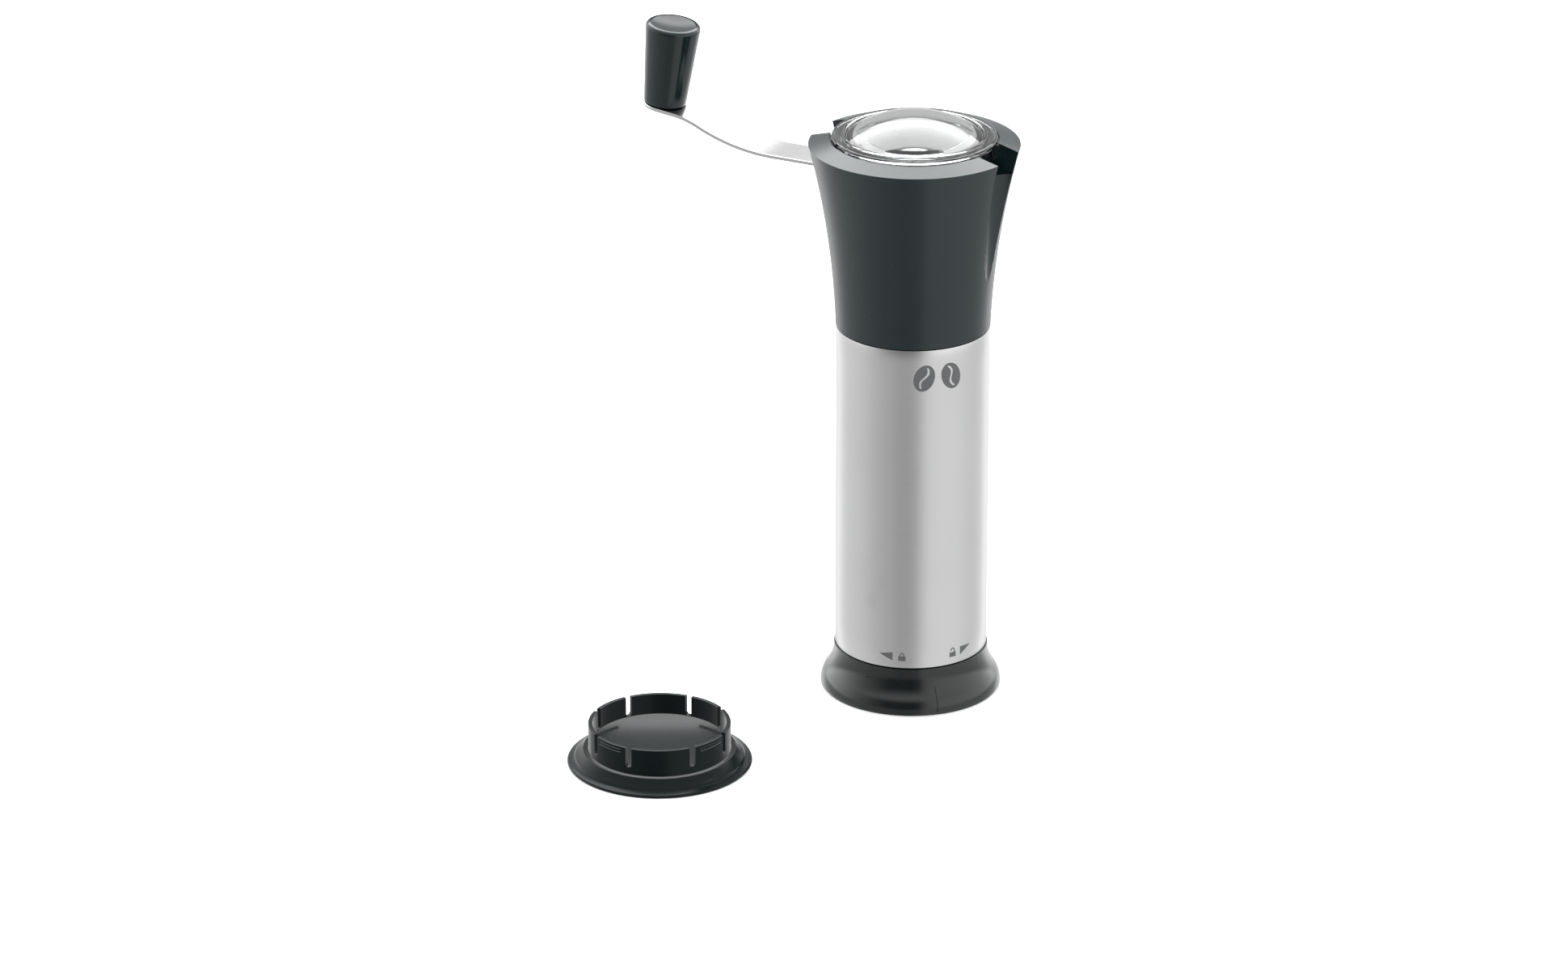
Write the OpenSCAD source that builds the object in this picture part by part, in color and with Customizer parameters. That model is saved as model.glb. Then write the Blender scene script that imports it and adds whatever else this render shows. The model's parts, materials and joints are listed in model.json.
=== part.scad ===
// Hand crank coffee grinder: a steel barrel with conical burrs, a flared head that is
// turned by a bent crank under a clear lid, a twist-off foot and a plug cap laid beside it.
// The origin is on the mill's axis, on the surface it stands on. The crank points along -X.

/* [Barrel] */
// Outside diameter of the steel tube
tube_d = 50; // [46:0.5:60]
// Wall of the steel tube
tube_wall = 1; // [0.8:0.1:1.4]
// Length of the steel tube
tube_h = 111.3; // [98:0.1:150]

/* [Foot] */
// Height of the foot
foot_h = 14.8; // [14:0.1:18]
// How far the foot's lower edge stands out past the tube
foot_flare = 4.75; // [3.5:0.05:6]
// Length of the socket that the cap's fingers plug into
socket_h = 6.8; // [6:0.1:7.4]
// Twist from closed to open
twist_a = 45; // [40:1:50]

/* [Head] */
// Height of the head from the seam to the rim's outer edge
head_h = 61.6; // [58:0.1:74]
// How far the rim stands out past the tube
head_flare = 9.2; // [8.4:0.1:12]
// Radius of the arc that the head's side follows
head_arc = 288; // [240:1:400]
// Height of the rim's inner edge above its outer edge
rim_rise = 1.9; // [1.2:0.1:2.4]
// Width of the two notches in the rim
notch_w = 15; // [15:0.1:17]
// Depth of the far notch below the rim's outer edge
far_notch_drop = 7.6; // [7:0.1:9]
// Radius of the thumb groove below each notch
groove_r = 7.5; // [6.5:0.1:7.5]

/* [Crank] */
// Distance from the mill's axis to the knob's foot
crank_r = 91; // [80:0.5:120]
// Width of the crank's strip
strip_w = 14; // [12:0.1:14.4]
// Thickness of the crank's strip
strip_t = 1.2; // [1:0.1:1.5]
// Drop of the strip's underside below the rim's outer edge
arm_drop = 11; // [10.6:0.1:12]
// Inside radius of the long upward bend
rise_r = 66; // [56:1:80]
// Angle of the long upward bend
rise_a = 25; // [20:1:28]
// Tilt of the knob towards the mill
knob_tilt = 7; // [4:0.5:10]

/* [Knob] */
// Length of the knob
knob_h = 27.5; // [26:0.5:34]
// Diameter of the knob's foot
knob_foot_d = 14; // [12.5:0.1:15]
// Diameter of the knob's top
knob_top_d = 18.2; // [16.5:0.1:21]
// Diameter of the shoulder that the knob turns on
pin_d = 6; // [5:0.1:6.4]

/* [Lid] */
// Diameter of the lid's flange
lid_d = 53.6; // [50:0.2:54]
// Height of the dome above the flange
dome_h = 6.6; // [5:0.1:8]
// Wall of the clear lid
lid_wall = 2; // [1.6:0.1:2.4]

/* [Mill works] */
// Diameter of the drive shaft
shaft_d = 8; // [7:0.1:9]
// Outside diameter of the fixed ring burr
ring_burr_d = 38; // [36:0.5:39]
// Height of the burrs
burr_h = 17; // [15:0.5:20]
// Travel of the grind setting
lift = 1.5; // [1:0.1:1.8]
// Diameter of the grind dial
dial_d = 22; // [20:0.5:26]

/* [Fits] */
// Radial gap of a running fit
run_gap = 0.06; // [0.04:0.01:0.08]
// Gap between parts that move past each other
move_gap = 0.3; // [0.25:0.05:0.35]
// Radial gap between the cap's fingers and their socket
plug_gap = 0.2; // [0.15:0.05:0.3]

/* [Cap beside the mill] */
// Place of the cap's middle along X
cap_x = -43.8; // [-60:0.1:-43]
// Place of the cap's middle along Y
cap_y = -94.3; // [-130:0.1:-80]

/* [Hidden] */
$fn = 96;

// Barrel and foot, from the floor up
tube_r = tube_d / 2;
tube_ri = tube_r - tube_wall;
foot_gap = 0.3;
tube_z = foot_h + foot_gap;
seam_z = tube_z + tube_h;

// Cap: heights above its own underside
cap_ring_wall = 1.4;
cap_rim_t = 0.9;
cap_step_z = 2.4;
cap_deck_z = 4.65;
cap_floor_z = 6.8;
cap_floor_t = 2;
cap_top_z = 13.6;
cap_slot_w = 2.1;
cap_wide_a = 53;
cap_turn = 29;
snap_r = 0.6;
snap_z = cap_top_z - 1.4;

// Foot: its socket, recess and spigot
socket_r = tube_r - 1.8;
cap_ring_r = socket_r - plug_gap;
cap_deck_r = cap_ring_r + 1.7;
foot_r = tube_r + foot_flare;
lip_r = tube_r + 0.35;
lip_z = foot_h - 0.4;
flare_in_r = 15;
flare_out_r = 8.5;
cap_step_r = foot_r - 2.4;
recess_r = cap_step_r + move_gap;
recess_h = cap_deck_z - cap_rim_t;
relief_r = socket_r + 0.8;
relief_z = recess_h + socket_h;
web_z = foot_h - 1.6;
edge_line_z = 0.6;
edge_line_in = 0.35;
index_a = -47;
index_spread = 1;
index_depth = 0.35;
index_z = 1.2;
index_h = 7.5;

// Bayonet between the foot and the barrel
bayonet_h = 12;
bayonet_wall = 1.2;
bayonet_ri = tube_ri - bayonet_wall;
keeper_depth = 1.3;
keeper_ri = bayonet_ri - keeper_depth;
keeper_z = tube_z + 3;
keeper_h = 2.4;
keeper_a = 56;
stop_ri = keeper_ri + 0.1;
stop_z = keeper_z + keeper_h / 2;
spigot_r = keeper_ri - move_gap;
spigot_wall = 1.6;
lug_r = bayonet_ri - move_gap;
lug_z = keeper_z + keeper_h + move_gap;
lug_h = 2.2;
lug_a = 24;
lug_stop_a = 3;
stop_gap_a = 1.5;
lug_count = 3;
spigot_z = lug_z + lug_h + 0.5;
seal_d = 1.8;
seal_gap = 0.1;
seal_squeeze = 0.05;
seal_r = bayonet_ri - seal_gap - seal_d / 2;
seal_z = foot_h + seal_d / 2 + 0.2;

// Head bearing in the tube's mouth
washer_t = 0.9;
washer_proud = 0.3;
head_gap = 0.1;
head_z = seam_z + washer_proud + head_gap;
rim_z = head_z + head_h;
bearing_z1 = seam_z + washer_proud - washer_t;
bearing_h = 13.6;
bearing_z0 = bearing_z1 - bearing_h;
bearing_wall = 2.54;
bearing_ri = tube_ri - bearing_wall;
journal_r = bearing_ri - run_gap;
journal_wall = 1.8;
clip_t = 1.1;
clip_gap = 0.2;
clip_z = bearing_z0 - clip_gap - clip_t;
clip_groove = 0.8;
clip_reach = 1.5;
clip_mouth_a = 40;
journal_z = clip_z - 1;

// Bridge, bush and burr housing
spider_z1 = journal_z - 1.9;
spider_h = 4;
spider_z0 = spider_z1 - spider_h;
spider_ring_w = 2;
spider_arm_w = 4;
shaft_r = shaft_d / 2;
bush_wall = 1.4;
bush_ri = shaft_r + run_gap;
bush_r = bush_ri + bush_wall;
bush_h = 10;
bush_z0 = spider_z0 - 4;
hub_wall = 1.8;
throat_h = 7;
burr_z1 = spider_z0 - throat_h;
burr_z0 = burr_z1 - burr_h;
ring_burr_r = ring_burr_d / 2;
mouth_r = ring_burr_r - 3.2;
retainer_t = 1.8;
screw_count = 3;
screw_r = 1.1;
screw_deep = 8;
screw_head_r = 2;
screw_head_t = 1.4;
screw_at_r = (ring_burr_r + tube_ri) / 2;
retainer_r = tube_ri - move_gap;

// Cone burr, its carrier, spring and grind dial
grind_gap = 0.4;
ring_exit_r = ring_burr_r - 2.1;
ring_waist_r = ring_exit_r - 2.6;
ring_waist_z = burr_z0 + burr_h * 0.45;
cone_foot_r = ring_exit_r - grind_gap;
cone_top_r = 8.4;
cone_z0 = burr_z0 - 0.6;
cone_z1 = burr_z1 - 1;
ring_slots = 18;
ring_slot_w = 0.9;
ring_slot_deep = 1.2;
ring_slot_a = 28;
coarse_slots = 6;
coarse_w = 2.8;
coarse_a = 24;
coarse_lean = 14;
fine_slots = 24;
fine_w = 0.8;
fine_a = 30;
fine_lean = 25;
flange_gap = 0.2;
flange_t = 1.6;
shaft_flange_r = shaft_r + 1.5;
shaft_flange_z1 = bush_z0 - flange_gap;
spring_z1 = shaft_flange_z1 - flange_t;
spring_h = 6;
spring_z0 = spring_z1 - spring_h;
spring_wire = 0.9;
spring_r = shaft_r + 1.2;
spring_turns = 3.5;
spring_sides = 8;
spring_steps = 16;
drive_side = shaft_d * 0.675;
drive_gap = 0.06;
carrier_r = 6.2;
carrier_flange_r = 9;
carrier_flange_t = 2.2;
carrier_z0 = cone_z0 - carrier_flange_t;
drive_z0 = carrier_z0 + 0.8;
thread_r = 2.5;
insert_gap = 0.1;
insert_z1 = carrier_z0 - insert_gap;
insert_h = 10;
insert_z0 = insert_z1 - insert_h;
insert_af = 9;
dial_z0 = insert_z0 + 2;
dial_h = 7;
dial_scallops = 16;
dial_scallop_r = 1.7;
end_clip_t = 0.8;
end_clip_z = insert_z0 - lift - 1.6 - end_clip_t;
end_clip_r = 4.5;
end_clip_groove = 0.6;
shaft_z0 = end_clip_z - 1.2;

// Head: shell, hopper cup and lid seat
cup_r = tube_r - 1.8;
cup_wall = 1.6;
neck_r = lid_d / 2 - 1.4;
neck_wall = 2.2;
cup_top_r = neck_r - 2.2;
seat_r = lid_d / 2 + 0.6;
seat_z = rim_z + rim_rise - 0.8;
ledge_z = rim_z - 14.4;
ledge_t = 6;
cup_flange_t = 1.6;
deck_z = rim_z - 4;
shell_wall = 2.6;
rim_r = tube_r + head_flare;
skirt_r = tube_r + 0.2;
edge = 0.3;
groove_x = rim_r - 0.2;
groove_wall = 2.2;
arm_z = rim_z - arm_drop;
arm_gap = 0.4;
funnel_z1 = head_z + 21;
funnel_z0 = head_z - 3;
spout_r = 13;
spout_h = 6;

// The cup's outside runs from the tube's line at its foot to the lid's neck at its top
function cup_at(z) = cup_r + (cup_top_r - cup_r) * (z - head_z) / (ledge_z - head_z);
funnel_r = cup_at(funnel_z1) - cup_wall;

// Centre of the arc on the head's side, from its two ends
arc_a = [skirt_r, head_z];
arc_b = [rim_r, rim_z];
arc_half = norm(arc_b - arc_a) / 2;
arc_out = [arc_b[1] - arc_a[1], arc_a[0] - arc_b[0]] / (2 * arc_half);
arc_c = (arc_a + arc_b) / 2 + arc_out * sqrt(head_arc * head_arc - arc_half * arc_half);

// Crank: the strip's bends, from the knob back to the flat run
ease_r = 26.6;
ease_a = rise_a - knob_tilt;
pad_run = 7.2;
arm_hub_r = 8.5;
pad_r = strip_w / 2 + 0.1;
ease_run = ease_r * sin(ease_a);
ease_sag = ease_r * (1 - cos(ease_a));
rise_run = rise_r * sin(rise_a);
rise_up = rise_r * (1 - cos(rise_a));
ease_x = ease_run * cos(rise_a) + ease_sag * sin(rise_a);
ease_up = ease_run * sin(rise_a) - ease_sag * cos(rise_a);
rise_x = crank_r - pad_run * cos(knob_tilt) - ease_x - rise_run;
knob_z = arm_z + rise_up + ease_up + pad_run * sin(knob_tilt);
boss_r = 8;
boss_foot_r = shaft_r + 1.6;
boss_h = 6;
tenon = 5.4;
stud_r = 2.5;
washer_r = 6.4;
hub_washer_t = 1;
nut_r = 7;
nut_h = 5;
nut_bore_h = 4;
nut_scallops = 18;
nut_scallop_r = 0.7;

// Knob and the shouldered pin it turns on
pin_r = pin_d / 2;
rivet_r = 2;
rivet_head_r = 3.2;
rivet_head_t = 0.9;
knob_gap = 0.3;
knob_z0 = strip_t + knob_gap;
knob_z1 = knob_z0 + knob_h;
knob_foot_r = knob_foot_d / 2;
knob_top_r = knob_top_d / 2;
knob_lean = atan((knob_top_r - knob_foot_r) / knob_h);
knob_edge = 1.4;
edge_z = knob_z1 - knob_edge;
plug_r = knob_foot_r + (edge_z - knob_z0) * tan(knob_lean) - knob_edge / cos(knob_lean);
plug_t = 2;
plug_dish = 0.7;
pin_head_r = 5;
pin_head_t = 2;
pin_head_z = knob_z1 - plug_t - 4.8;

// Clear lid
lid_flange_t = 1.9;
lid_gap = 0.05;
lid_z0 = seat_z + lid_gap;
lid_z1 = lid_z0 + lid_flange_t;
lid_r = lid_d / 2;
lid_skirt_r = neck_r - move_gap;
lid_skirt_h = 5.5;
dome_r = lid_r * 0.82;
bead_r = dome_r + 1;
dome_rad = (dome_r * dome_r + dome_h * dome_h) / (2 * dome_h);

// Points along an arc, and the heading from one point to another
function arc(c, r, from, to, steps) =
    [for (i = [0:steps]) let (a = from + (to - from) * i / steps) c + r * [cos(a), sin(a)]];
function heading(c, p) = atan2(p[1] - c[1], p[0] - c[0]);

module ring(r0, r1, z, h) {
    translate([0, 0, z])
        difference() {
            cylinder(r = r1, h = h);
            translate([0, 0, -1]) cylinder(r = r0, h = h + 2);
        }
}

module ring_sector(r0, r1, z, h, from, spread) {
    rotate([0, 0, from])
        rotate_extrude(angle = spread)
            translate([r0, z])
                square([r1 - r0, h]);
}

// ---- Foot ----

// Half section of the foot's side: a concave arc that flows into a convex one
module foot_side() {
    in_c = [lip_r + flare_in_r, lip_z];
    out_x = foot_r - flare_out_r;
    reach = flare_in_r + flare_out_r;
    run = in_c[0] - out_x;
    out_c = [out_x, lip_z - sqrt(reach * reach - run * run)];
    lean = heading(out_c, in_c);
    low = asin(max(0, edge_line_z - out_c[1]) / flare_out_r);
    polygon(concat(
        [[0, 0], [0, foot_h], [lip_r, foot_h]],
        arc(in_c, flare_in_r, 180, 180 + lean, 12),
        arc(out_c, flare_out_r, lean, low, 12),
        [[foot_r, edge_line_z], [foot_r - edge_line_in, edge_line_z], [foot_r - edge_line_in, 0]]
    ));
}

module foot_ring() {
    color("darkslategray") {
        difference() {
            union() {
                rotate_extrude() foot_side();
                cylinder(r = spigot_r, h = spigot_z);
            }
            translate([0, 0, -1]) cylinder(r = recess_r, h = recess_h + 1);
            translate([0, 0, -1]) cylinder(r = socket_r, h = relief_z + 1);
            translate([0, 0, relief_z]) cylinder(r = relief_r, h = web_z - relief_z);
            translate([0, 0, -1]) cylinder(r = spigot_r - spigot_wall, h = spigot_z + 2);
            ring(seal_r - seal_d / 2 + seal_squeeze, spigot_r + 1, foot_h + 0.1, seal_d + 0.2);
            rotate([0, 0, index_a])
                rotate_extrude(angle = index_spread)
                    difference() {
                        translate([lip_r, index_z]) square([foot_flare + 1, index_h]);
                        translate([-index_depth, 0]) foot_side();
                    }
        }
        for (i = [0:lug_count - 1])
            ring_sector(spigot_r - spigot_wall / 2, lug_r, lug_z, lug_h,
                (i * 360 / lug_count) - lug_a / 2, lug_a);
    }
}

module foot_seal() {
    color("dimgray")
        translate([0, 0, seal_z])
            rotate_extrude()
                translate([seal_r, 0])
                    circle(r = seal_d / 2, $fn = 32);
}

// ---- Barrel ----

module steel_tube() {
    color("silver") ring(tube_ri, tube_r, tube_z, tube_h);
}

// Keepers pass under the foot's lugs, and two ribs stop the twist at each end
module bayonet_ring() {
    color("darkslategray") {
        ring(bayonet_ri, tube_ri, tube_z, bayonet_h);
        for (i = [0:lug_count - 1]) {
            turn = i * 360 / lug_count;
            ring_sector(keeper_ri, tube_ri - bayonet_wall / 2, keeper_z, keeper_h,
                turn - keeper_a / 2, keeper_a);
            for (at = [lug_a / 2 + stop_gap_a, -twist_a - lug_a / 2 - stop_gap_a - lug_stop_a])
                ring_sector(stop_ri, tube_ri - bayonet_wall / 2, stop_z, lug_z + lug_h - stop_z,
                    turn + at, lug_stop_a);
        }
    }
}

module bearing_ring() {
    color("dimgray") ring(bearing_ri, tube_ri, bearing_z0, bearing_h);
}

module glide_washer() {
    color("ivory") ring(bearing_ri + 0.2, tube_ri - 0.2, bearing_z1, washer_t);
}

module bridge_spider() {
    arm_out = tube_ri - spider_ring_w / 2;
    color("dimgray") {
        ring(tube_ri - spider_ring_w, tube_ri, spider_z0, spider_h);
        ring(bush_r, bush_r + hub_wall, bush_z0, bush_h);
        for (i = [0:lug_count - 1])
            rotate([0, 0, 30 + i * 360 / lug_count])
                translate([bush_r + hub_wall / 2, -spider_arm_w / 2, spider_z0])
                    cube([arm_out - bush_r - hub_wall / 2, spider_arm_w, spider_h]);
    }
}

module shaft_bush() {
    color("peru") ring(bush_ri, bush_r, bush_z0, bush_h);
}

module at_screws() {
    for (i = [0:screw_count - 1])
        rotate([0, 0, i * 360 / screw_count])
            translate([screw_at_r, 0, 0])
                children();
}

module burr_housing() {
    color("dimgray")
        difference() {
            rotate_extrude()
                polygon([
                    [ring_burr_r, burr_z0], [tube_ri, burr_z0], [tube_ri, spider_z0],
                    [tube_ri - spider_ring_w, spider_z0], [mouth_r, burr_z1], [ring_burr_r, burr_z1]
                ]);
            at_screws() translate([0, 0, burr_z0 - 1]) cylinder(r = screw_r, h = screw_deep + 1, $fn = 32);
        }
}

// The waist grips the beans, and the slots shear them against the cone
module ring_burr() {
    color("lightgray")
        difference() {
            rotate_extrude()
                polygon([
                    [ring_exit_r, burr_z0], [ring_burr_r, burr_z0],
                    [ring_burr_r, burr_z1], [mouth_r, burr_z1], [ring_waist_r, ring_waist_z]
                ]);
            for (i = [0:ring_slots - 1])
                rotate([0, 0, i * 360 / ring_slots])
                    translate([ring_waist_r - 3, 0, burr_z0 - 1])
                        rotate([0, 0, ring_slot_a])
                            cube([3 + ring_slot_deep, ring_slot_w, burr_h * 0.8]);
        }
}

module burr_retainer() {
    color("silver")
        difference() {
            ring(ring_exit_r + 0.6, retainer_r, burr_z0 - retainer_t, retainer_t);
            at_screws() translate([0, 0, burr_z0 - retainer_t - 1]) cylinder(r = screw_r, h = 4, $fn = 32);
        }
}

module retainer_screws() {
    color("gainsboro")
        at_screws() {
            translate([0, 0, burr_z0 - retainer_t])
                cylinder(r = screw_r, h = retainer_t + screw_deep - 0.5, $fn = 32);
            translate([0, 0, burr_z0 - retainer_t - screw_head_t])
                difference() {
                    cylinder(r = screw_head_r, h = screw_head_t, $fn = 32);
                    translate([-screw_head_r, -0.3, -0.4]) cube([screw_head_r * 2, 0.6, 1]);
                }
        }
}

// ---- Head ----

// Half section of the head with its bores, and of the hollow behind its outer wall
module head_outline() {
    polygon(concat(
        [[cup_r, head_z]],
        arc(arc_c, head_arc, heading(arc_c, arc_a), heading(arc_c, arc_b - [0, edge]), 20),
        [arc_b - [edge, 0], [seat_r + edge, rim_z + rim_rise - 0.1], [seat_r, rim_z + rim_rise - edge]],
        [[seat_r, seat_z], [neck_r, seat_z], [neck_r, ledge_z], [cup_top_r, ledge_z]]
    ));
}

module head_hollow() {
    difference() {
        polygon([
            [cup_at(head_z + 1), head_z + 1], [cup_at(ledge_z - ledge_t), ledge_z - ledge_t],
            [neck_r + neck_wall, ledge_z - 1.6], [neck_r + neck_wall, deck_z], [rim_r, deck_z],
            [rim_r, head_z + 1]
        ]);
        polygon(concat(
            [[rim_r + 9, head_z]],
            arc(arc_c, head_arc + shell_wall, heading(arc_c, arc_a), heading(arc_c, arc_b), 20),
            [[rim_r + 9, rim_z + 9]]
        ));
    }
}

module beside_grooves(r, h) {
    for (side = [-1, 1])
        translate([side * groove_x, 0, head_z - 1])
            cylinder(r = r, h = h);
}

module head_shell() {
    sill = arm_z - arm_gap;
    far_sill = rim_z - far_notch_drop;
    wall_w = notch_w + 2 * groove_wall;
    color("darkslategray")
        difference() {
            rotate_extrude() head_outline();
            difference() {
                rotate_extrude() head_hollow();
                beside_grooves(groove_r + groove_wall, sill - head_z + 1);
                translate([-rim_r - 1, -wall_w / 2, sill - groove_wall])
                    cube([rim_r * 2 + 2, wall_w, rim_z - sill + groove_wall]);
            }
            translate([-rim_r - 1, -notch_w / 2, sill])
                cube([rim_r - neck_r / 2, notch_w, rim_z - sill + 9]);
            translate([neck_r / 2, -notch_w / 2, far_sill])
                cube([rim_r, notch_w, rim_z - far_sill + 9]);
            beside_grooves(groove_r, far_sill - head_z + 1.5);
        }
}

// Funnel in one piece with the journal that turns in the barrel's mouth
module hopper_cup() {
    slope = [funnel_r - spout_r, funnel_z1 - funnel_z0];
    back = cup_wall * norm(slope) / slope[1];
    in_r = journal_r - journal_wall;
    meet_z = funnel_z0 + (in_r - back - spout_r) * slope[1] / slope[0];
    color("dimgray")
        difference() {
            rotate_extrude()
                polygon([
                    [neck_r, ledge_z], [neck_r, ledge_z + cup_flange_t],
                    [cup_top_r - cup_wall, ledge_z + cup_flange_t], [funnel_r, funnel_z1],
                    [spout_r, funnel_z0], [spout_r, funnel_z0 - spout_h],
                    [spout_r + back, funnel_z0 - spout_h], [spout_r + back, funnel_z0], [in_r, meet_z],
                    [in_r, journal_z], [journal_r, journal_z], [journal_r, head_z],
                    [cup_r, head_z], [cup_top_r, ledge_z]
                ]);
            ring(journal_r - clip_groove, journal_r + 1, clip_z, clip_t);
        }
}

module head_clip() {
    color("silver")
        ring_sector(journal_r - clip_groove, journal_r - clip_groove + clip_reach + clip_groove, clip_z,
            clip_t, clip_mouth_a / 2, 360 - clip_mouth_a);
}

module drive_shaft() {
    color("silver")
        difference() {
            union() {
                translate([0, 0, spring_z1]) cylinder(r = shaft_r, h = arm_z - spring_z1);
                translate([0, 0, spring_z1]) cylinder(r = shaft_flange_r, h = flange_t);
                translate([-drive_side / 2, -drive_side / 2, drive_z0])
                    cube([drive_side, drive_side, spring_z1 - drive_z0]);
                translate([0, 0, shaft_z0]) cylinder(r = thread_r, h = drive_z0 - shaft_z0);
                translate([-tenon / 2, -tenon / 2, arm_z]) cube([tenon, tenon, strip_t]);
                translate([0, 0, arm_z + strip_t]) cylinder(r = stud_r, h = hub_washer_t + nut_bore_h);
            }
            ring(thread_r - end_clip_groove, thread_r + 1, end_clip_z, end_clip_t);
        }
}

module shaft_end_clip() {
    color("silver")
        ring_sector(thread_r - end_clip_groove, end_clip_r, end_clip_z, end_clip_t, 30, 300);
}

module crank_boss() {
    color("dimgray")
        rotate_extrude()
            polygon([
                [shaft_r, arm_z - boss_h], [boss_foot_r, arm_z - boss_h], [boss_r, arm_z - boss_h / 2],
                [boss_r, arm_z], [shaft_r, arm_z]
            ]);
}

module at_knob() {
    translate([-crank_r, 0, knob_z])
        rotate([0, knob_tilt, 0])
            children();
}

// The strip seen from its side, from the hub out to the pad, with its underside on z = 0
module strip_side() {
    rise_c = [rise_x, rise_r];
    ease_c = [rise_x + rise_run + ease_r * sin(rise_a), rise_up - ease_r * cos(rise_a)];
    pad = [crank_r, knob_z - arm_z] + strip_w * [cos(knob_tilt), sin(knob_tilt)];
    pad_up = [-sin(knob_tilt), cos(knob_tilt)];
    polygon(concat(
        [[0, 0]],
        arc(rise_c, rise_r, -90, rise_a - 90, 12),
        arc(ease_c, ease_r, rise_a + 90, knob_tilt + 90, 8),
        [pad, pad + strip_t * pad_up],
        arc(ease_c, ease_r + strip_t, knob_tilt + 90, rise_a + 90, 8),
        arc(rise_c, rise_r - strip_t, rise_a - 90, -90, 12),
        [[0, strip_t]]
    ));
}

module crank_arm() {
    color("gainsboro")
        difference() {
            translate([0, 0, arm_z]) {
                cylinder(r = arm_hub_r, h = strip_t);
                translate([0, strip_w / 2, 0])
                    rotate([90, 0, 0])
                        mirror([1, 0, 0])
                            linear_extrude(strip_w)
                                strip_side();
            }
            translate([-tenon / 2, -tenon / 2, arm_z - 1]) cube([tenon, tenon, strip_t + 2]);
            at_knob()
                difference() {
                    translate([-strip_w * 2, -strip_w, -1]) cube([strip_w * 2, strip_w * 2, strip_t + 2]);
                    translate([0, 0, -2]) cylinder(r = pad_r, h = strip_t + 4);
                }
            at_knob() translate([0, 0, -1]) cylinder(r = rivet_r, h = strip_t + 2, $fn = 48);
        }
}

module hub_washer() {
    color("silver") ring(stud_r, washer_r, arm_z + strip_t, hub_washer_t);
}

module hub_nut() {
    z = arm_z + strip_t + hub_washer_t;
    color("silver")
        difference() {
            translate([0, 0, z])
                rotate_extrude()
                    polygon(concat([[0, 0], [nut_r, 0]], arc([nut_r - 1.5, nut_h - 1.5], 1.5, 0, 90, 6),
                        [[0, nut_h]]));
            translate([0, 0, z - 1]) cylinder(r = stud_r, h = nut_bore_h + 1, $fn = 48);
            for (i = [0:nut_scallops - 1])
                rotate([0, 0, i * 360 / nut_scallops])
                    translate([nut_r + nut_scallop_r / 2, 0, z - 1])
                        cylinder(r = nut_scallop_r, h = nut_h + 2, $fn = 24);
        }
}

// ---- Knob ----

module knob_pin() {
    color("silver")
        at_knob() {
            translate([0, 0, -rivet_head_t]) cylinder(r = rivet_head_r, h = rivet_head_t, $fn = 48);
            cylinder(r = rivet_r, h = strip_t, $fn = 48);
            translate([0, 0, strip_t]) cylinder(r = pin_r, h = pin_head_z - strip_t, $fn = 48);
            translate([0, 0, pin_head_z]) cylinder(r = pin_head_r, h = pin_head_t, $fn = 48);
        }
}

module knob_grip() {
    foot_edge = 0.8;
    color("black")
        at_knob()
            difference() {
                rotate_extrude()
                    polygon(concat(
                        [[0, knob_z0], [knob_foot_r - foot_edge, knob_z0]],
                        arc([knob_foot_r - foot_edge, knob_z0 + foot_edge], foot_edge, -90, -knob_lean, 5),
                        arc([plug_r, edge_z], knob_edge, -knob_lean, 90, 8),
                        [[0, knob_z1]]
                    ));
                translate([0, 0, knob_z0 - 1]) cylinder(r = pin_r + run_gap, h = knob_h);
                translate([0, 0, pin_head_z - 0.2]) cylinder(r = pin_head_r + move_gap, h = knob_h);
                translate([0, 0, knob_z1 - plug_t - 0.4]) cylinder(r = plug_r, h = knob_h);
            }
}

// Plug that closes the knob, with a dished face
module knob_plug() {
    dish_r = (plug_r * plug_r + plug_dish * plug_dish) / (2 * plug_dish);
    top = knob_z1 - 0.1;
    spread = asin(plug_r / dish_r);
    color("black")
        at_knob()
            rotate_extrude()
                polygon(concat(
                    [[0, knob_z1 - plug_t - 0.4], [plug_r, knob_z1 - plug_t - 0.4]],
                    arc([0, top - plug_dish + dish_r], dish_r, -90 + spread, -90, 8)
                ));
}

// ---- Lid ----

module clear_lid() {
    dome_c = [0, lid_z1 + dome_h - dome_rad];
    in_rad = dome_rad - lid_wall;
    in_foot = sqrt(in_rad * in_rad - pow(lid_z1 - dome_c[1], 2));
    color("aliceblue", 0.5)
        rotate_extrude()
            polygon(concat(
                [[lid_skirt_r - 1.5, lid_z0 - lid_skirt_h], [lid_skirt_r, lid_z0 - lid_skirt_h]],
                [[lid_skirt_r, lid_z0], [lid_r - edge, lid_z0], [lid_r, lid_z0 + edge]],
                arc([lid_r - 0.8, lid_z1 - 0.8], 0.8, 0, 90, 5),
                arc([bead_r, lid_z1], 0.6, 0, 180, 6),
                arc(dome_c, dome_rad, heading(dome_c, [dome_r, lid_z1]), 90, 16),
                arc(dome_c, in_rad, 90, heading(dome_c, [in_foot, lid_z1]), 16),
                [[in_foot, lid_z0], [lid_skirt_r - 1.5, lid_z0]]
            ));
}

// ---- Cone burr and grind setting ----

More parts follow.
